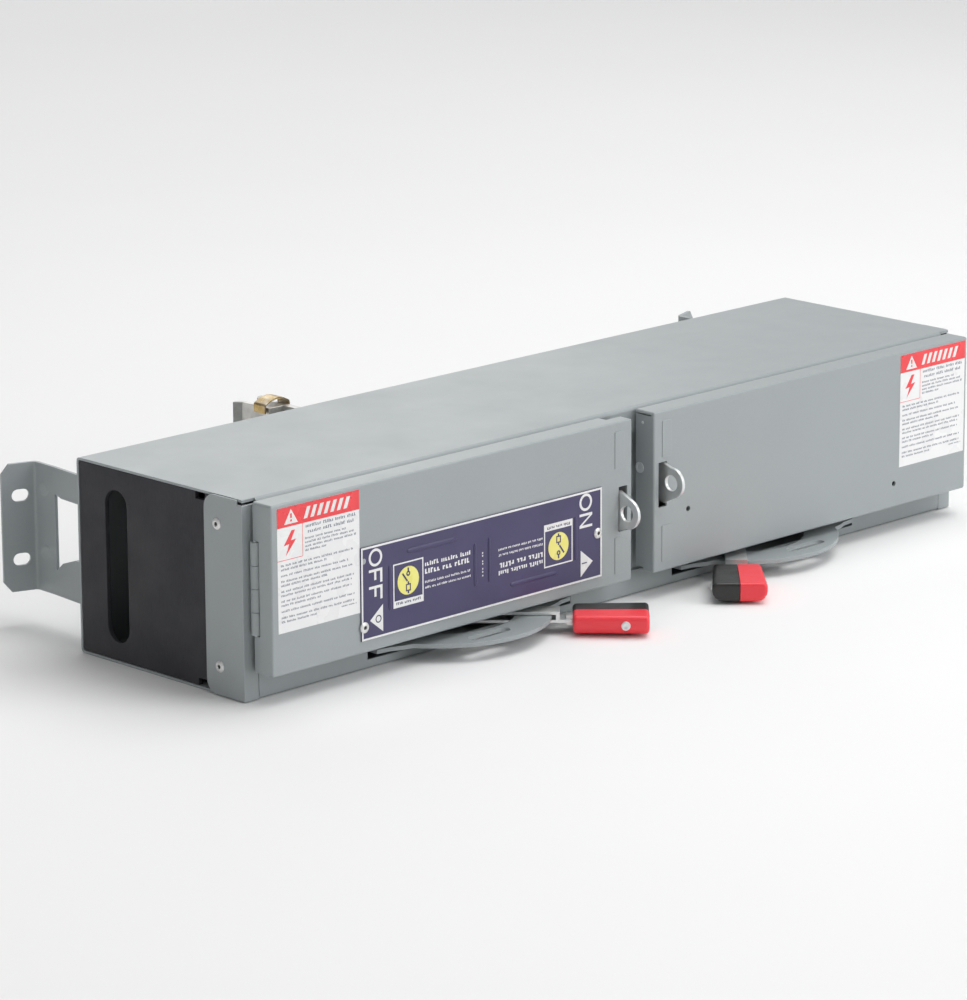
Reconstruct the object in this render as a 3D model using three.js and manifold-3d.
import * as THREE from "three";
import { mergeVertices } from "three/addons/utils/BufferGeometryUtils.js";
import Module from "manifold-3d";

// Twin fusible disconnect switch unit. Millimetres, +Z up, doors and handles toward -Y.
// X is measured from the middle of the case, Z from its underside, and Y from the front of
// its end edges. The whole model is then moved by DEPTH_CENTRE, to the middle of its depth.

// ---------- driving dimensions ----------
const SHEET = 1.5;
const GAP = 0.3;
const CASE_HALF = 295.2;
const CASE_FRONT = -5.3;
const CASE_BACK = 135.6;
const CASE_TOP = 114.3;
const BEND_RADIUS = 1.75;
const STRIP_TOP = 15.3;
const LIP_BOTTOM = 99;
const DEPTH_CENTRE = 68.2145;

const STILE_OUTER = 297;
const STILE_DEPTH = 26;
const STILE_FLANGE = 286.5;
const STILE_WIDE_FLANGE = 270;
const STILE_WIDE_BOTTOM = 17;
const STILE_WIDE_TOP = 98.5;
const STILE_CORNER = 8;
const STILE_RELIEF = { bottom: 111.5, depth: 4.5 };
const POP_RIVET_RADIUS = 3.3;
const POP_RIVET_HEIGHT = 1.4;
const STILE_RIVETS = [{ y: 15, z: 98 }, { y: 14.5, z: 17 }];

const BARRIER_THICK = 3;
const WIRE_SLOT = { y: 102.7, bottom: 12.2, top: 100.6, width: 18.5 };
const BARRIER_NOTCH = { y: 27, width: 8, depth: 4 };

const DOOR = { outer: 291.2, inner: 9.2, front: -22.3, back: -7.7, bottom: 16.6, top: 113.4 };
const DOOR_MIDDLE = (DOOR.bottom + DOOR.top) / 2;
const DOOR_CORNER = 1.6;
const DOOR_EDGE = 1.1;
const DOOR_NOTCH = { length: 13, front: -14 };
const DOOR_SEAM = { front: -20, bottom: 110.9, top: 111.7 };
const LATCH_SLOT = { x: -20.3, width: 7.1, bottom: 47.3, top: 74.4 };
const LANCE = { x: -23.6, width: 7.5, tall: 21.7, reach: 31.6, height: 0.4, root: 0.5 };
const DOOR_HOLES = [{ x: -223.7, z: 31.7 }, { x: -38.7, z: 50.5 }];
const DOOR_HOLE_RADIUS = 1.7;

const HINGE = { x: -290.4, y: -8.7, radius: 3, pin: 1.5, bottom: 38.4, knuckle: 13.2, leaf: 1.2 };
const HINGE_KNUCKLES = 4;

const PLATE = { thick: 0.6, left: -225.7, right: -35.2, bottom: 23.9, top: 77.4 };
const PLATE_RIVET_RADIUS = 2.4;

const LATCH = { x: -19.9, thick: 2.4, eyeY: -28.3, eyeZ: 59.2, eyeRadius: 4.7, lobe: 9.2 };
const LATCH_PIVOT = { y: -11, z: 51.1, radius: 2 };

const PIVOT = { x: -123.9, y: 21 };
const ARC = { outer: 65, inner: 44, bottom: 8.8, thick: 2.4, foot: 77, footFront: -9 };
const PADLOCK_SLOT = { x: -133.7, y: -30.2, halfLength: 15.5, half: 3.6 };
const NOTCH_HALF = 81;
const NOTCH_BOTTOM = 5.5;

const LEVER_ANGLE = -45;
const LEVER = { width: 13, leaf: 1.8, lower: 6.7, upper: 11.5, lip: 67, lipThick: 2.4 };
const HUB = { radius: 11, bottom: 4.7 };
const TANG = { start: 73, end: 112, half: 4, bottom: 4.7, top: 10.3 };
const GRIP = { start: 76.7, length: 44, half: 16.4, bottom: 1.5, top: 13.1, edge: 2.2, taper: 0.88 };
const GRIP_CORNER = { low: 6.4, high: 3.2 };
const GRIP_RIVET = { at: 107, z: 7.5, radius: 1.8, head: 2.65, proud: 0.8 };

const SHAFT_RADIUS = 4;
const DRUM = { radius: 9, bottom: 17.8, top: 102.7 };
const BLADE = { reach: 24, width: 8, thick: 2.4 };
const POLES = [92, 60, 28];
const BAR_HALF_HEIGHT = 8;

const JAW_CONTACT = { from: 15, web: 25, end: 27, width: 10, leaf: 1.6, gap: 1.6 };
const BUS_BAR = { front: 118, thick: 3, half: 104 };
const BUS_ARM = { near: 101, far: 104, front: 36 };
const LINE_JAW = { half: 8, plate: 3, base: 176, tip: 200, flare: 4, halfHeight: 12, tail: 5 };
const LINE_JAW_X = [-105.2, 0, 105.2];
const LINE_BASE = { half: 125, thick: 6, bottom: 8, top: 106 };
const LINE_WINDOW = { half: 9, halfHeight: 15 };
const SPRING = { half: 9.5, front: 177.5, width: 10, thick: 1.2, leg: 3.5, rise: 1.6, crown: 4.8 };

const FUSE = { y: 54, radius: 10.3, body: 9.6, left: -224, length: 57, ferrule: 12.7 };
const CLIP = { width: 11, leaf: 1.5, web: 65, strap: 68.7, thick: 3, front: 48 };
const LOAD_STRAP = { x: -160, front: 1, edge: -143.6 };
const LUG = { left: -257, right: -234, front: 56, half: 9, bore: 4.5, screw: 3.6 };
const BASE = { left: -260, right: -150, front: 72, back: 80, bottom: 4, top: 110 };
const BEARING = { right: -98, front: 8, lower: 15, upper: 103, thick: 2.5 };
const RIBS = [-240, -165];
const RIB_WIDTH = 12;

const POST = { half: 20, front: -3.4, back: 12 };

const BRACKET = { x: 25.2, y: 203.3, bottom: 19.2, top: 95.4, thick: 2, flange: 21.3, tilt: 19.6 };
const BRACKET_WEB_END = { x: 24.4, y: 185.3 };
const BRACKET_FOOT = { x: 19.5, y: 137, end: 48 };
const BRACKET_CHAMFER = { along: 4.9, down: 6 };
const BRACKET_SLOT = { from: 9.9, length: 10.7, height: 7.3, spacing: 38.1 };
const BRACKET_WINDOW = { bottom: 44, top: 78, front: 140.5, back: 184 };
const WINDOW_CORNER = { low: 34, rise: 39.5, lead: 6.5, top: 79.5 };

const FINE = 24;
const COARSE = 16;

// ---------- solids ----------
const wasm = await Module();
wasm.setup();

function solid(geometry) {
  const bare = geometry.clone();
  bare.deleteAttribute("normal");
  bare.deleteAttribute("uv");
  const merged = mergeVertices(bare, 1e-4);
  return new wasm.Manifold(new wasm.Mesh({
    numProp: 3,
    vertProperties: new Float32Array(merged.attributes.position.array),
    triVerts: new Uint32Array(merged.index.array),
  }));
}

function geometryOf(manifold) {
  const mesh = manifold.getMesh();
  const geometry = new THREE.BufferGeometry();
  geometry.setAttribute("position", new THREE.BufferAttribute(new Float32Array(mesh.vertProperties), 3));
  geometry.setIndex(new THREE.BufferAttribute(new Uint32Array(mesh.triVerts), 1));
  return geometry;
}

function box(x0, x1, y0, y1, z0, z1) {
  const geometry = new THREE.BoxGeometry(x1 - x0, y1 - y0, z1 - z0);
  geometry.translate((x0 + x1) / 2, (y0 + y1) / 2, (z0 + z1) / 2);
  return solid(geometry);
}

function cylinderZ(x, y, z0, z1, radius, sides = COARSE) {
  const geometry = new THREE.CylinderGeometry(radius, radius, z1 - z0, sides);
  geometry.rotateX(Math.PI / 2);
  geometry.translate(x, y, (z0 + z1) / 2);
  return solid(geometry);
}

function cylinderX(y, z, x0, x1, radius, sides = COARSE) {
  const geometry = new THREE.CylinderGeometry(radius, radius, x1 - x0, sides);
  geometry.rotateZ(Math.PI / 2);
  geometry.translate((x0 + x1) / 2, y, z);
  return solid(geometry);
}

function cylinderY(x, z, y0, y1, radius, sides = COARSE) {
  const geometry = new THREE.CylinderGeometry(radius, radius, y1 - y0, sides);
  geometry.translate(x, (y0 + y1) / 2, z);
  return solid(geometry);
}

// A shape drawn in X and Y, raised along Z.
function prismZ(shape, z0, z1, curveSegments = 3) {
  const geometry = new THREE.ExtrudeGeometry(shape, { depth: z1 - z0, bevelEnabled: false, curveSegments });
  geometry.translate(0, 0, z0);
  return solid(geometry);
}

// A shape drawn in Y and Z, pushed along X.
function prismX(shape, x0, x1, curveSegments = 3) {
  const geometry = new THREE.ExtrudeGeometry(shape, { depth: x1 - x0, bevelEnabled: false, curveSegments });
  geometry.rotateY(Math.PI / 2);
  geometry.rotateX(Math.PI / 2);
  geometry.translate(x0, 0, 0);
  return solid(geometry);
}

// A shape drawn in X and Z, pushed along Y.
function prismY(shape, y0, y1, curveSegments = 3) {
  const geometry = new THREE.ExtrudeGeometry(shape, { depth: y1 - y0, bevelEnabled: false, curveSegments });
  geometry.rotateX(Math.PI / 2);
  geometry.translate(0, y1, 0);
  return solid(geometry);
}

function union(pieces) {
  return pieces.reduce((sum, piece) => sum.add(piece));
}

function cut(body, tools) {
  return tools.reduce((rest, tool) => rest.subtract(tool), body);
}

function polygon(points) {
  return new THREE.Shape(points.map(([a, b]) => new THREE.Vector2(a, b)));
}

function roundedRect(a0, a1, b0, b1, radius) {
  const shape = new THREE.Shape();
  shape.moveTo(a0 + radius, b0);
  shape.lineTo(a1 - radius, b0);
  shape.absarc(a1 - radius, b0 + radius, radius, -Math.PI / 2, 0, false);
  shape.lineTo(a1, b1 - radius);
  shape.absarc(a1 - radius, b1 - radius, radius, 0, Math.PI / 2, false);
  shape.lineTo(a0 + radius, b1);
  shape.absarc(a0 + radius, b1 - radius, radius, Math.PI / 2, Math.PI, false);
  shape.lineTo(a0, b0 + radius);
  shape.absarc(a0 + radius, b0 + radius, radius, Math.PI, Math.PI * 1.5, false);
  return shape;
}

// The centre line of a bent sheet, with its corners rounded.
function roundedPath(corners, radius, steps = 3) {
  const points = [];
  corners.forEach(([x, y], i) => {
    if (i === 0 || i === corners.length - 1) {
      points.push(new THREE.Vector2(x, y));
      return;
    }
    const here = new THREE.Vector2(x, y);
    const before = new THREE.Vector2(...corners[i - 1]).sub(here).normalize();
    const after = new THREE.Vector2(...corners[i + 1]).sub(here).normalize();
    const half = Math.acos(THREE.MathUtils.clamp(before.dot(after), -1, 1)) / 2;
    const trim = radius / Math.tan(half);
    const centre = before.clone().add(after).normalize().multiplyScalar(radius / Math.sin(half)).add(here);
    const start = before.clone().multiplyScalar(trim).add(here).sub(centre);
    const end = after.clone().multiplyScalar(trim).add(here).sub(centre);
    let turn = end.angle() - start.angle();
    turn -= Math.round(turn / (2 * Math.PI)) * 2 * Math.PI;
    for (let k = 0; k <= steps; k += 1) {
      points.push(start.clone().rotateAround(new THREE.Vector2(), (turn * k) / steps).add(centre));
    }
  });
  return points;
}

// A bent sheet's section: the centre line, half the thickness to each side.
function sheetSection(corners, thickness, radius, steps = 3) {
  const line = roundedPath(corners, radius, steps);
  const left = [];
  const right = [];
  line.forEach((point, i) => {
    const before = line[Math.max(i - 1, 0)];
    const after = line[Math.min(i + 1, line.length - 1)];
    const along = after.clone().sub(before).normalize();
    const side = new THREE.Vector2(-along.y, along.x).multiplyScalar(thickness / 2);
    left.push(point.clone().add(side));
    right.push(point.clone().sub(side));
  });
  return new THREE.Shape([...left, ...right.reverse()]);
}

function mirrored(manifold) {
  return manifold.mirror([1, 0, 0]);
}

function bothSides(manifold) {
  return [manifold, mirrored(manifold)];
}

function polar(radius, degrees) {
  const angle = THREE.MathUtils.degToRad(degrees);
  return [PIVOT.x + radius * Math.cos(angle), PIVOT.y + radius * Math.sin(angle)];
}

// A box drawn along +X from the handle's pivot, turned to the given angle.
function radialBox(r0, r1, halfWidth, z0, z1, degrees) {
  const geometry = new THREE.BoxGeometry(r1 - r0, halfWidth * 2, z1 - z0);
  geometry.translate((r0 + r1) / 2, 0, (z0 + z1) / 2);
  geometry.rotateZ(THREE.MathUtils.degToRad(degrees));
  geometry.translate(PIVOT.x, PIVOT.y, 0);
  return solid(geometry);
}

function arcShape(inner, outer, from, to, steps) {
  const rim = (radius, start, end) => Array.from({ length: steps + 1 }, (_, k) => (
    polar(radius, start + ((end - start) * k) / steps)
  ));
  return polygon([...rim(outer, from, to), ...rim(inner, to, from)]);
}

// ---------- case ----------
function caseWrap() {
  const half = SHEET / 2;
  const section = sheetSection([
    [CASE_FRONT + half, STRIP_TOP],
    [CASE_FRONT + half, half],
    [CASE_BACK - half, half],
    [CASE_BACK - half, CASE_TOP - half],
    [CASE_FRONT + half, CASE_TOP - half],
    [CASE_FRONT + half, LIP_BOTTOM],
  ], SHEET, BEND_RADIUS);
  const wrap = prismX(section, -CASE_HALF, CASE_HALF);
  const frontEnd = box(
    -CASE_HALF - 1,
    GAP - STILE_FLANGE,
    CASE_FRONT - 1,
    CASE_FRONT + SHEET + GAP,
    -1,
    CASE_TOP + 1,
  );
  const notch = box(
    PIVOT.x - NOTCH_HALF,
    PIVOT.x + NOTCH_HALF,
    CASE_FRONT - 1,
    0,
    NOTCH_BOTTOM,
    STRIP_TOP + 1,
  );
  const windows = POLES.map((z, i) => prismY(roundedRect(
    tailCentre(i) - LINE_WINDOW.half,
    tailCentre(i) + LINE_WINDOW.half,
    z - LINE_WINDOW.halfHeight,
    z + LINE_WINDOW.halfHeight,
    3,
  ), CASE_BACK - 4, CASE_BACK + 1));
  return cut(wrap, [...bothSides(frontEnd), ...bothSides(notch), ...windows]);
}

function endStile() {
  const side = prismX(
    roundedRect(CASE_FRONT - 20, STILE_DEPTH, GAP, CASE_TOP - GAP, STILE_CORNER),
    -STILE_OUTER,
    SHEET - STILE_OUTER,
  ).subtract(box(-STILE_OUTER - 1, 0, CASE_FRONT - 21, CASE_FRONT, -1, CASE_TOP + 1));
  const front = CASE_FRONT + SHEET;
  const rivets = STILE_RIVETS.map(({ y, z }) => popRivet(y, z));
  const relief = box(
    -STILE_OUTER - 1,
    1 - STILE_FLANGE,
    CASE_FRONT - 1,
    CASE_FRONT + STILE_RELIEF.depth,
    STILE_RELIEF.bottom,
    CASE_TOP + 1,
  );
  return union([
    side,
    box(-STILE_OUTER, -STILE_FLANGE, CASE_FRONT, front, GAP, CASE_TOP - GAP),
    box(-STILE_OUTER, -STILE_WIDE_FLANGE, CASE_FRONT, front, STILE_WIDE_BOTTOM, STILE_WIDE_TOP),
    ...rivets,
  ]).subtract(relief);
}

function popRivet(y, z) {
  const profile = [
    new THREE.Vector2(0, 0),
    new THREE.Vector2(POP_RIVET_RADIUS, 0),
    new THREE.Vector2(POP_RIVET_RADIUS * 0.8, POP_RIVET_HEIGHT * 0.8),
    new THREE.Vector2(0, POP_RIVET_HEIGHT),
  ];
  const geometry = new THREE.LatheGeometry(profile, COARSE);
  geometry.translate(0, -0.2, 0);
  geometry.rotateZ(Math.PI / 2);
  geometry.translate(-STILE_OUTER, y, z);
  return solid(geometry);
}

function endBarrier() {
  const x0 = GAP - CASE_HALF;
  const x1 = x0 + BARRIER_THICK;
  const y0 = CASE_FRONT + SHEET + 0.5;
  const y1 = CASE_BACK - SHEET - GAP;
  const z0 = SHEET + GAP;
  const z1 = CASE_TOP - SHEET - GAP;
  const plate = prismX(roundedRect(y0, y1, z0, z1, 2), x0, x1, 3);
  const halfWidth = WIRE_SLOT.width / 2;
  const slot = roundedRect(
    WIRE_SLOT.y - halfWidth,
    WIRE_SLOT.y + halfWidth,
    WIRE_SLOT.bottom,
    WIRE_SLOT.top,
    halfWidth,
  );
  const notch = (z) => box(
    x0 - 1,
    x1 + 1,
    BARRIER_NOTCH.y,
    BARRIER_NOTCH.y + BARRIER_NOTCH.width,
    z - BARRIER_NOTCH.depth,
    z + BARRIER_NOTCH.depth,
  );
  return cut(plate, [prismX(slot, x0 - 1, x1 + 1, 8), notch(z0), notch(z1)]);
}

function centrePost() {
  const half = SHEET / 2;
  const section = sheetSection([
    [half - POST.half, POST.back],
    [half - POST.half, POST.front + half],
    [POST.half - half, POST.front + half],
    [POST.half - half, POST.back],
  ], SHEET, BEND_RADIUS);
  return prismZ(section, SHEET + GAP, CASE_TOP - SHEET - GAP);
}

function mountingBracket() {
  const tilt = THREE.MathUtils.degToRad(BRACKET.tilt);
  const bend = [BRACKET.x - CASE_HALF, BRACKET.y];
  const tip = [bend[0] - BRACKET.flange * Math.cos(tilt), bend[1] + BRACKET.flange * Math.sin(tilt)];
  const section = sheetSection([
    tip,
    bend,
    [BRACKET_WEB_END.x - CASE_HALF, BRACKET_WEB_END.y],
    [BRACKET_FOOT.x - CASE_HALF, BRACKET_FOOT.y],
    [BRACKET_FOOT.end - CASE_HALF, BRACKET_FOOT.y],
  ], BRACKET.thick, 3);
  const sheet = prismZ(section, BRACKET.bottom, BRACKET.top);
  const middle = (BRACKET.bottom + BRACKET.top) / 2;
  const onFlange = (shape) => {
    const geometry = new THREE.ExtrudeGeometry(shape, { depth: 10, bevelEnabled: false, curveSegments: 4 });
    geometry.translate(0, 0, -5);
    geometry.rotateX(Math.PI / 2);
    geometry.rotateZ(-tilt);
    geometry.translate(bend[0], bend[1], 0);
    return solid(geometry);
  };
  const slots = [-1, 1].map((side) => {
    const z = middle + (side * BRACKET_SLOT.spacing) / 2;
    return onFlange(roundedRect(
      -BRACKET_SLOT.from - BRACKET_SLOT.length / 2,
      -BRACKET_SLOT.from + BRACKET_SLOT.length / 2,
      z - BRACKET_SLOT.height / 2,
      z + BRACKET_SLOT.height / 2,
      BRACKET_SLOT.height / 2 - 0.01,
    ));
  });
  const { along, down } = BRACKET_CHAMFER;
  const chamfers = [[BRACKET.top, -down], [BRACKET.bottom, down]].map(([z, rise]) => onFlange(polygon([
    [-BRACKET.flange - 1, z + rise + rise / along],
    [-BRACKET.flange + along + 1, z - rise / along],
    [-BRACKET.flange - 1, z - rise / along],
  ])));
  const { back, front } = BRACKET_WINDOW;
  const { lead } = WINDOW_CORNER;
  const window = prismX(polygon([
    [back, WINDOW_CORNER.low],
    [back, WINDOW_CORNER.top],
    [back - lead, BRACKET_WINDOW.top],
    [front, BRACKET_WINDOW.top],
    [front, BRACKET_WINDOW.bottom],
    [back - lead * 3, BRACKET_WINDOW.bottom],
    [back - lead, WINDOW_CORNER.rise],
  ]), -CASE_HALF, 50 - CASE_HALF);
  return cut(sheet, [...slots, ...chamfers, window]);
}

// ---------- doors ----------
// flip is 1 for the left door; the right door's latch gear is the same stamping turned over.
function atHeight(z, flip) {
  return flip > 0 ? z : 2 * DOOR_MIDDLE - z;
}

function zBox(x0, x1, y0, y1, za, zb, flip) {
  const [low, high] = [atHeight(za, flip), atHeight(zb, flip)].sort((a, b) => a - b);
  return box(x0, x1, y0, y1, low, high);
}

function doorPan(flip) {
  const depth = DOOR.back - DOOR.front;
  const geometry = new THREE.ExtrudeGeometry(
    roundedRect(
      DOOR_EDGE - DOOR.outer,
      -DOOR.inner - DOOR_EDGE,
      DOOR.bottom + DOOR_EDGE,
      DOOR.top - DOOR_EDGE,
      DOOR_CORNER - DOOR_EDGE,
    ),
    { depth, bevelThickness: DOOR_EDGE, bevelSize: DOOR_EDGE, bevelSegments: 3, curveSegments: 3 },
  );
  geometry.rotateX(Math.PI / 2);
  geometry.translate(0, DOOR.back + DOOR_EDGE, 0);
  const outer = solid(geometry).subtract(box(-400, 0, DOOR.back, DOOR.back + 20, -10, 200));
  const inner = prismY(roundedRect(
    SHEET - DOOR.outer,
    -DOOR.inner - SHEET,
    DOOR.bottom + SHEET,
    DOOR.top - SHEET,
    1,
  ), DOOR.front + SHEET, DOOR.back + 1, 2);
  const through = [DOOR.front - 1, DOOR.front + SHEET + 1];
  const pads = [-1, 1].map((side) => {
    const z = DOOR_MIDDLE + side * LANCE.reach;
    return box(
      LANCE.x,
      LANCE.x + LANCE.width,
      DOOR.front - LANCE.height,
      DOOR.front + LANCE.root,
      z - LANCE.tall / 2,
      z + LANCE.tall / 2,
    );
  });
  const holes = DOOR_HOLES.map(({ x, z }) => cylinderY(x, z, ...through, DOOR_HOLE_RADIUS, 16));
  const hingeTop = HINGE.bottom + HINGE.knuckle * HINGE_KNUCKLES;
  const hingeNotch = box(
    -DOOR.outer - 1,
    -DOOR.outer + SHEET + 0.5,
    HINGE.y - HINGE.radius - 0.6,
    DOOR.back + 1,
    HINGE.bottom - 0.6,
    hingeTop + 0.6,
  );
  const flangeNotch = zBox(
    -DOOR.inner - DOOR_NOTCH.length,
    0,
    DOOR_NOTCH.front,
    DOOR.back + 1,
    DOOR.top - SHEET - 1,
    DOOR.top + 1,
    flip,
  );
  const seam = box(
    -DOOR.inner - SHEET - 0.5,
    -DOOR.inner + 1,
    DOOR_SEAM.front,
    DOOR.back + 1,
    DOOR_SEAM.bottom,
    DOOR_SEAM.top,
  );
  const slot = zBox(
    LATCH_SLOT.x,
    LATCH_SLOT.x + LATCH_SLOT.width,
    ...through,
    LATCH_SLOT.bottom,
    LATCH_SLOT.top,
    flip,
  );
  const pivotZ = atHeight(LATCH_PIVOT.z, flip);
  const pin = cylinderX(LATCH_PIVOT.y, pivotZ, LATCH.x - 2, -DOOR.inner - SHEET / 2, LATCH_PIVOT.radius, 16);
  return union([cut(outer, [inner, ...holes, hingeNotch, flangeNotch, seam, slot]), pin, ...pads]);
}

function knuckle(index) {
  const bottom = HINGE.bottom + HINGE.knuckle * index + GAP / 2;
  return cylinderZ(HINGE.x, HINGE.y, bottom, bottom + HINGE.knuckle - GAP, HINGE.radius, 16);
}

function knuckleSpan(index) {
  const bottom = HINGE.bottom + HINGE.knuckle * index + GAP / 2;
  return [bottom, bottom + HINGE.knuckle - GAP];
}

function hingeBore() {
  return cylinderZ(HINGE.x, HINGE.y, 0, CASE_TOP, HINGE.pin + GAP, 12);
}

function frameLeaf() {
  const back = HINGE.y + HINGE.radius;
  const pieces = [0, 2].flatMap((index) => [
    knuckle(index),
    box(HINGE.x, HINGE.x + 17, back - HINGE.leaf, back, ...knuckleSpan(index)),
  ]);
  const top = HINGE.bottom + HINGE.knuckle * HINGE_KNUCKLES;
  const spine = box(HINGE.x + 6, HINGE.x + 17, back - HINGE.leaf, back, HINGE.bottom, top);
  return cut(union([...pieces, spine]), [hingeBore()]);
}

function doorLeaf() {
  const x0 = -DOOR.outer + SHEET + GAP;
  const pieces = [1, 3].flatMap((index) => [
    knuckle(index),
    box(x0, x0 + HINGE.leaf, DOOR.front + SHEET + 1, HINGE.y, ...knuckleSpan(index)),
  ]);
  const top = HINGE.bottom + HINGE.knuckle * HINGE_KNUCKLES;
  const spine = box(x0, x0 + HINGE.leaf, DOOR.front + SHEET + 1, HINGE.y - HINGE.radius - 1, HINGE.bottom, top);
  return cut(union([...pieces, spine]), [hingeBore()]);
}

function hingePin() {
  const top = HINGE.bottom + HINGE.knuckle * HINGE_KNUCKLES;
  return cylinderZ(HINGE.x, HINGE.y, HINGE.bottom - 0.5, top + 0.5, HINGE.pin, 12);
}

function latch(flip) {
  const at = (y, z) => [y, atHeight(z, flip)];
  const eye = at(LATCH.eyeY, LATCH.eyeZ);
  const pivot = at(LATCH_PIVOT.y, LATCH_PIVOT.z);
  const x0 = LATCH.x;
  const x1 = x0 + LATCH.thick;
  const tangent = (degrees) => {
    const angle = THREE.MathUtils.degToRad(degrees);
    return at(LATCH.eyeY + LATCH.lobe * Math.cos(angle), LATCH.eyeZ + LATCH.lobe * Math.sin(angle));
  };
  const outline = [
    at(DOOR.front, LATCH_SLOT.top - 2.2),
    ...Array.from({ length: 17 }, (_, k) => tangent(112 + k * 10)),
    at(DOOR.front, LATCH_SLOT.bottom + 0.8),
    at(LATCH_PIVOT.y - 3, LATCH_PIVOT.z - 3.6),
    at(-7.6, LATCH_PIVOT.z - 2),
    at(-7.6, LATCH_PIVOT.z + 12),
    at(-14, LATCH_SLOT.top - 4.5),
  ];
  const plate = prismX(polygon(outline), x0, x1);
  const lobe = cylinderX(...pivot, x0, x1, 4.4, COARSE);
  return cut(plate.add(lobe), [
    cylinderX(...eye, x0 - 1, x1 + 1, LATCH.eyeRadius, FINE),
    cylinderX(...pivot, x0 - 1, x1 + 1, LATCH_PIVOT.radius + GAP, 16),
  ]);
}

function nameplate() {
  const back = DOOR.front - GAP;
  const front = back - PLATE.thick;
  const plate = box(PLATE.left, PLATE.right, front, back, PLATE.bottom, PLATE.top);
  const rivets = DOOR_HOLES.flatMap(({ x, z }) => [
    cylinderY(x, z, front - 0.9, front + 0.1, PLATE_RIVET_RADIUS, 16),
    cylinderY(x, z, front, DOOR.front + SHEET, DOOR_HOLE_RADIUS - GAP, 12),
  ]);
  return union([plate, ...rivets]);
}

// ---------- handles ----------
function padlockPlate() {
  const z0 = ARC.bottom;
  const z1 = z0 + ARC.thick;
  const ring = prismZ(arcShape(ARC.inner, ARC.outer, -180, 0, 24), z0, z1);
  const legs = [-1, 1].map((side) => {
    const [near, far] = [PIVOT.x + side * ARC.inner, PIVOT.x + side * ARC.outer].sort((a, b) => a - b);
    return box(near, far, PIVOT.y - 1, PIVOT.y + 24, z0, z1);
  });
  const feet = [-1, 1].map((side) => prismZ(polygon([
    [ARC.inner + 1, PIVOT.y - 6],
    [ARC.foot, PIVOT.y - 6],
    [ARC.foot, ARC.footFront],
    [ARC.foot - 9, ARC.footFront - 1.2],
    [ARC.foot - 15, ARC.footFront - 3.8],
    [ARC.inner + 2, ARC.footFront - 7.5],
  ].map(([x, y]) => [PIVOT.x + side * x, y])), z0, z1));
  const cross = box(PIVOT.x - ARC.outer, PIVOT.x + ARC.outer, PIVOT.y + 12.5, PIVOT.y + 24, z0, z1);
  const tabs = [-1, 1].map((side) => {
    const x = PIVOT.x + side * (ARC.outer - 5);
    return box(x - 5, x + 5, PIVOT.y + 21.5, PIVOT.y + 24, SHEET + GAP, z0 + 1);
  });
  const { x, y, halfLength, half } = PADLOCK_SLOT;
  const slot = roundedRect(x - halfLength, x + halfLength, y - half, y + half, half - 0.01);
  return cut(union([ring, ...legs, ...feet, cross, ...tabs]), [prismZ(slot, z0 - 1, z1 + 1, 6)]);
}

function lever() {
  const halfWidth = LEVER.width / 2;
  const top = LEVER.upper + LEVER.leaf;
  const lipEnd = LEVER.lip + LEVER.lipThick;
  const leaves = [[LEVER.lower, GRIP.start - GAP], [LEVER.upper, lipEnd]].map(([z, end]) => (
    radialBox(0, end, halfWidth, z, z + LEVER.leaf, LEVER_ANGLE)
  ));
  const hub = cylinderZ(PIVOT.x, PIVOT.y, HUB.bottom, top, HUB.radius, FINE);
  const lip = radialBox(LEVER.lip, lipEnd, halfWidth, LEVER.lower, top, LEVER_ANGLE);
  const tang = radialBox(TANG.start, TANG.end, TANG.half, TANG.bottom, TANG.top, LEVER_ANGLE);
  return cut(union([...leaves, hub, lip, tang]), [
    cylinderZ(PIVOT.x, PIVOT.y, 0, 20, SHAFT_RADIUS + GAP, COARSE),
    alongGrip(cylinderY(GRIP_RIVET.at, GRIP_RIVET.z, -20, 20, GRIP_RIVET.radius + GAP, 16)),
  ]);
}

// Turns a solid drawn with the grip along +X from the pivot to where the handle rests.
function alongGrip(manifold) {
  return manifold.rotate([0, 0, LEVER_ANGLE]).translate([PIVOT.x, PIVOT.y, 0]);
}

// How wide the grip is at a distance from the pivot, as a share of its widest.
function gripTaper(distance) {
  return THREE.MathUtils.lerp(GRIP.taper, 1, (distance - GRIP.start) / GRIP.length);
}

function gripBlock() {
  const { start, length, half, bottom, top, edge } = GRIP;
  const side = half - edge;
  const low = GRIP_CORNER.low - edge;
  const high = GRIP_CORNER.high - edge;
  const shape = new THREE.Shape();
  shape.moveTo(low - side, bottom + edge);
  shape.absarc(side - low, bottom + edge + low, low, -Math.PI / 2, 0, false);
  shape.absarc(side - high, top - edge - high, high, 0, Math.PI / 2, false);
  shape.absarc(high - side, top - edge - high, high, Math.PI / 2, Math.PI, false);
  shape.absarc(low - side, bottom + edge + low, low, Math.PI, Math.PI * 1.5, false);
  const geometry = new THREE.ExtrudeGeometry(shape, {
    depth: length - 2 * edge,
    bevelThickness: edge,
    bevelSize: edge,
    bevelSegments: 3,
    curveSegments: 2,
  });
  geometry.rotateY(Math.PI / 2);
  geometry.rotateX(Math.PI / 2);
  geometry.translate(start + edge, 0, 0);
  const { position } = geometry.attributes;
  for (let i = 0; i < position.count; i += 1) {
    position.setY(i, position.getY(i) * gripTaper(position.getX(i)));
  }
  return solid(geometry);
}

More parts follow.
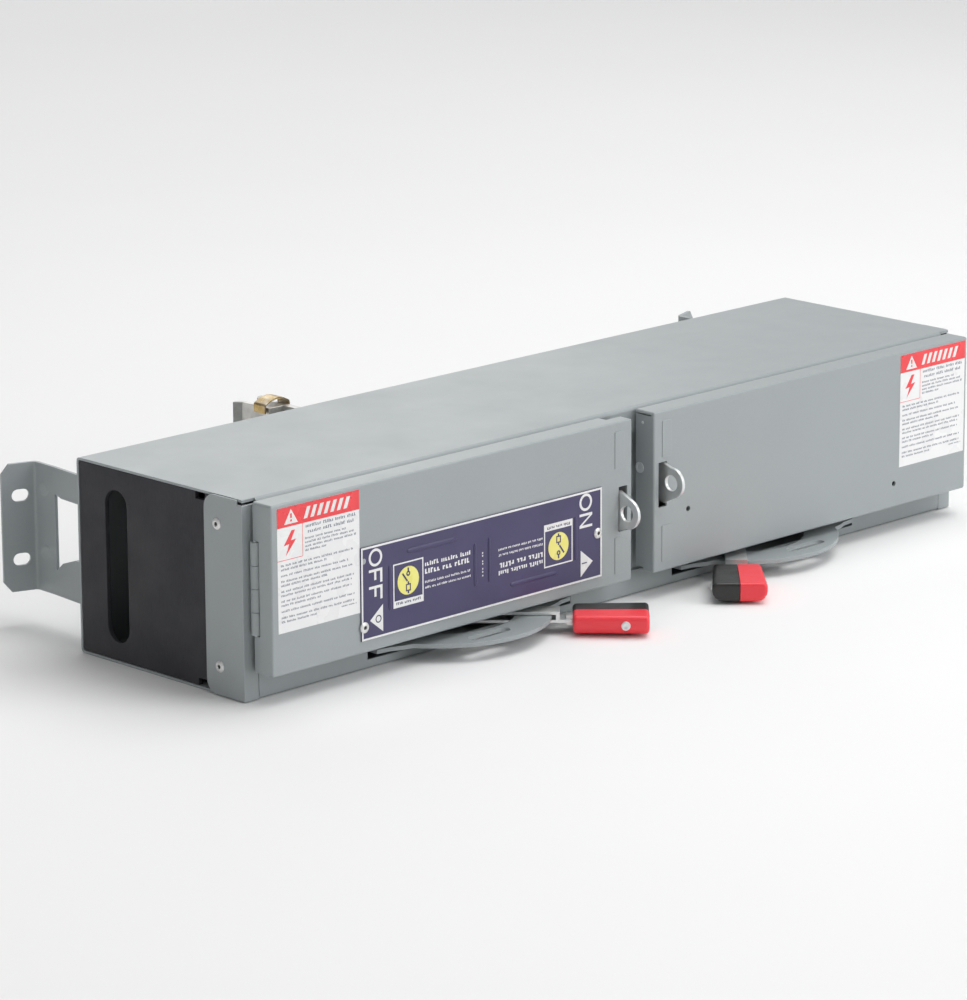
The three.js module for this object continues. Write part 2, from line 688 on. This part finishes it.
function gripHalf(side) {
  const { start, length, half, bottom, top } = GRIP;
  const end = start + length;
  const [low, high] = side > 0 ? [GAP / 2, half + 1] : [-half - 1, -GAP / 2];
  const cheek = gripBlock().intersect(box(start - 5, end + 5, low, high, bottom - 5, top + 5));
  const recess = box(
    start - 5,
    TANG.end + GAP,
    -TANG.half - GAP,
    TANG.half + GAP,
    TANG.bottom - GAP,
    TANG.top + GAP,
  );
  const bore = cylinderY(GRIP_RIVET.at, GRIP_RIVET.z, -half - 1, half + 1, GRIP_RIVET.radius + GAP, 16);
  return alongGrip(cut(cheek, [recess, bore]));
}

function gripRivet() {
  const reach = GRIP.half * gripTaper(GRIP_RIVET.at) + GAP;
  const shank = cylinderY(GRIP_RIVET.at, GRIP_RIVET.z, -reach - 0.1, reach + 0.1, GRIP_RIVET.radius, 16);
  const heads = [-1, 1].map((side) => {
    const [low, high] = [side * reach, side * (reach + GRIP_RIVET.proud)].sort((a, b) => a - b);
    return cylinderY(GRIP_RIVET.at, GRIP_RIVET.z, low, high, GRIP_RIVET.head, COARSE);
  });
  return alongGrip(union([shank, ...heads]));
}

function rotor() {
  const { reach, width, thick } = BLADE;
  const blades = POLES.map((z) => (
    radialBox(-reach, reach, width / 2, z - thick / 2, z + thick / 2, LEVER_ANGLE + 90)
  ));
  return union([
    cylinderZ(PIVOT.x, PIVOT.y, HUB.bottom, DRUM.top + 4, SHAFT_RADIUS, COARSE),
    cylinderZ(PIVOT.x, PIVOT.y, DRUM.bottom, DRUM.top, DRUM.radius, FINE),
    ...blades,
  ]);
}

// ---------- current path ----------
// A contact jaw whose two leaves the blade swings between, opening toward the rotor.
function contactJaw(pole, degrees) {
  const { from, web, end, width, leaf, gap } = JAW_CONTACT;
  return [
    radialBox(from, end, width / 2, pole + gap, pole + gap + leaf, degrees),
    radialBox(from, end, width / 2, pole - gap - leaf, pole - gap, degrees),
    radialBox(web, end, width / 2, pole - gap - leaf, pole + gap + leaf, degrees),
  ];
}

// The side plate that runs on as the tail is the one nearer the middle of the case.
function tailSide(index) {
  return LINE_JAW_X[index] > 0 ? -1 : 1;
}

function tailCentre(index) {
  return LINE_JAW_X[index] + tailSide(index) * (LINE_JAW.half - LINE_JAW.tail / 2);
}

function lineBus(index) {
  const pole = POLES[index];
  const { half, plate, base, tip, flare, halfHeight, tail } = LINE_JAW;
  const fork = polygon([
    [half - tail, BUS_BAR.front],
    [half, BUS_BAR.front],
    [half, tip],
    [half + flare, tip + flare],
    [half + flare - plate, tip + flare + 1],
    [half - plate, tip + 1.2],
    [half - plate, base + 4],
    [plate - half, base + 4],
    [plate - half, tip + 1.2],
    [plate - half - flare, tip + flare + 1],
    [-half - flare, tip + flare],
    [-half, tip],
    [-half, base],
    [half - tail, base],
  ].map(([x, y]) => [LINE_JAW_X[index] + tailSide(index) * x, y]));
  const low = pole - BAR_HALF_HEIGHT;
  const high = pole + BAR_HALF_HEIGHT;
  const bar = box(-BUS_BAR.half, BUS_BAR.half, BUS_BAR.front, BUS_BAR.front + BUS_BAR.thick, low, high);
  const leftEnd = union([
    box(-BUS_ARM.far, -BUS_ARM.near, BUS_ARM.front, BUS_BAR.front + 1, low, high),
    ...contactJaw(pole, LEVER_ANGLE + 90),
  ]);
  return union([prismZ(fork, pole - halfHeight, pole + halfHeight), bar, ...bothSides(leftEnd)]);
}

function lineBase() {
  const y0 = CASE_BACK + GAP;
  const y1 = y0 + LINE_BASE.thick;
  const plate = prismY(
    roundedRect(-LINE_BASE.half, LINE_BASE.half, LINE_BASE.bottom, LINE_BASE.top, 4),
    y0,
    y1,
    3,
  );
  const slots = POLES.map((z, i) => box(
    tailCentre(i) - LINE_JAW.tail / 2 - GAP,
    tailCentre(i) + LINE_JAW.tail / 2 + GAP,
    y0 - 1,
    y1 + 1,
    z - LINE_JAW.halfHeight - GAP,
    z + LINE_JAW.halfHeight + GAP,
  ));
  return cut(plate, slots);
}

function jawSpring(index) {
  const x = LINE_JAW_X[index];
  const top = POLES[index] + LINE_JAW.halfHeight;
  const half = [
    [SPRING.half, top - SPRING.leg],
    [SPRING.half, top + SPRING.rise],
    [SPRING.half / 2, top + SPRING.crown - 0.8],
  ];
  const section = sheetSection([
    ...half.map(([out, z]) => [x - out, z]),
    [x, top + SPRING.crown],
    ...half.reverse().map(([out, z]) => [x + out, z]),
  ], SPRING.thick, 1.2, 3);
  return prismY(section, SPRING.front, SPRING.front + SPRING.width);
}

function fuseClip(pole, left) {
  const inner = FUSE.radius + 0.4;
  const outer = inner + CLIP.leaf;
  const right = left + CLIP.width;
  return [
    box(left, right, CLIP.front, CLIP.strap + CLIP.thick, pole + inner, pole + outer),
    box(left, right, CLIP.front, CLIP.strap + CLIP.thick, pole - outer, pole - inner),
    box(left, right, CLIP.web, CLIP.strap + CLIP.thick, pole - outer, pole + outer),
  ];
}

function loadContact(pole) {
  const low = pole - BAR_HALF_HEIGHT;
  const high = pole + BAR_HALF_HEIGHT;
  const { x, front, edge } = LOAD_STRAP;
  const back = CLIP.strap + CLIP.thick;
  const clipLeft = FUSE.left + FUSE.length - CLIP.width - 1;
  return union([
    ...contactJaw(pole, LEVER_ANGLE - 90),
    box(x, edge, front, front + CLIP.thick, low, high),
    box(x, x + CLIP.thick, front, back, low, high),
    box(clipLeft, x + 1, CLIP.strap, back, low, high),
    ...fuseClip(pole, clipLeft),
  ]);
}

function loadLug(pole) {
  const low = pole - BAR_HALF_HEIGHT;
  const high = pole + BAR_HALF_HEIGHT;
  const back = CLIP.strap + CLIP.thick;
  const clipLeft = FUSE.left + 1;
  const body = union([
    box(LUG.left, LUG.right, LUG.front, CLIP.strap + 1, pole - LUG.half, pole + LUG.half),
    box(LUG.left, clipLeft + 1, CLIP.strap, back, low, high),
    ...fuseClip(pole, clipLeft),
    cylinderY((LUG.left + LUG.right) / 2, pole, LUG.front - 3, LUG.front + 1, LUG.screw, 16),
  ]);
  const middle = (LUG.front + CLIP.strap) / 2 + 1;
  return body.subtract(cylinderX(middle, pole, LUG.left - 1, LUG.right - 4, LUG.bore, 16));
}

function fuse(pole) {
  const right = FUSE.left + FUSE.length;
  return union([
    cylinderX(FUSE.y, pole, FUSE.left + 1, right - 1, FUSE.body, FINE),
    cylinderX(FUSE.y, pole, FUSE.left, FUSE.left + FUSE.ferrule, FUSE.radius, FINE),
    cylinderX(FUSE.y, pole, right - FUSE.ferrule, right, FUSE.radius, FINE),
  ]);
}

function switchBase() {
  const { left, right, front, back, bottom, top } = BASE;
  const bearings = [BEARING.lower, BEARING.upper].map((z) => (
    box(right - 4, BEARING.right, BEARING.front, back, z, z + BEARING.thick)
  ));
  const rear = CASE_BACK - SHEET - GAP;
  const ribs = RIBS.map((x) => box(x, x + RIB_WIDTH, back - 1, rear, bottom, top));
  const barriers = [0, 1].map((i) => {
    const z = (POLES[i] + POLES[i + 1]) / 2;
    return box(FUSE.left - 8, LOAD_STRAP.x - 1, 40, front + 1, z - 1.2, z + 1.2);
  });
  return union([box(left, right, front, back, bottom, top), ...bearings, ...ribs, ...barriers])
    .subtract(cylinderZ(PIVOT.x, PIVOT.y, 0, CASE_TOP, SHAFT_RADIUS + GAP, COARSE));
}

// ---------- assembly ----------
const PAINT = { color: 0xa6afb1, roughness: 0.55, metalness: 0.15 };
const BLACK = { color: 0x3e3e44, roughness: 0.6, metalness: 0 };
const ZINC = { color: 0xc9cccb, roughness: 0.3, metalness: 0.9 };
const TIN = { color: 0xc4c2bd, roughness: 0.4, metalness: 0.8 };
const BRASS = { color: 0xc8a85a, roughness: 0.35, metalness: 0.85 };
const RED = { color: 0xf0454f, roughness: 0.45, metalness: 0 };
const GRIP_BLACK = { color: 0x32302f, roughness: 0.5, metalness: 0 };
const PURPLE = { color: 0x484464, roughness: 0.4, metalness: 0.2 };
const FUSE_BODY = { color: 0xd8cfae, roughness: 0.7, metalness: 0 };
const PHENOLIC = { color: 0x2c2b2d, roughness: 0.6, metalness: 0 };

const group = new THREE.Group();
group.name = "twin_fusible_switch";

function place(name, manifold, look) {
  const geometry = geometryOf(manifold);
  geometry.translate(0, -DEPTH_CENTRE, 0);
  const mesh = new THREE.Mesh(geometry, new THREE.MeshStandardMaterial(look));
  mesh.name = name;
  group.add(mesh);
}

function placePair(name, manifold, look) {
  place(`${name}_left`, manifold, look);
  place(`${name}_right`, mirrored(manifold), look);
}

place("case_wrap", caseWrap(), PAINT);
placePair("end_stile", endStile(), PAINT);
placePair("end_barrier", endBarrier(), BLACK);
placePair("mounting_bracket", mountingBracket(), PAINT);
place("centre_post", centrePost(), PAINT);

place("door_left", doorPan(1), PAINT);
place("door_right", mirrored(doorPan(-1)), PAINT);
placePair("hinge_frame_leaf", frameLeaf(), PAINT);
placePair("hinge_door_leaf", doorLeaf(), PAINT);
placePair("hinge_pin", hingePin(), PAINT);
place("latch_left", latch(1), ZINC);
place("latch_right", mirrored(latch(-1)), ZINC);
place("nameplate", nameplate(), PURPLE);

placePair("padlock_plate", padlockPlate(), PAINT);
placePair("handle_lever", lever(), ZINC);
placePair("grip_black", gripHalf(1), GRIP_BLACK);
placePair("grip_red", gripHalf(-1), RED);
placePair("grip_rivet", gripRivet(), ZINC);
placePair("blade_rotor", rotor(), PHENOLIC);

placePair("switch_base", switchBase(), PHENOLIC);
place("line_base", lineBase(), PHENOLIC);
["a", "b", "c"].forEach((phase, i) => {
  place(`line_bus_${phase}`, lineBus(i), TIN);
  place(`jaw_spring_${phase}`, jawSpring(i), BRASS);
  placePair(`load_contact_${phase}`, loadContact(POLES[i]), TIN);
  placePair(`fuse_${phase}`, fuse(POLES[i]), FUSE_BODY);
  placePair(`load_lug_${phase}`, loadLug(POLES[i]), TIN);
});

export default group;
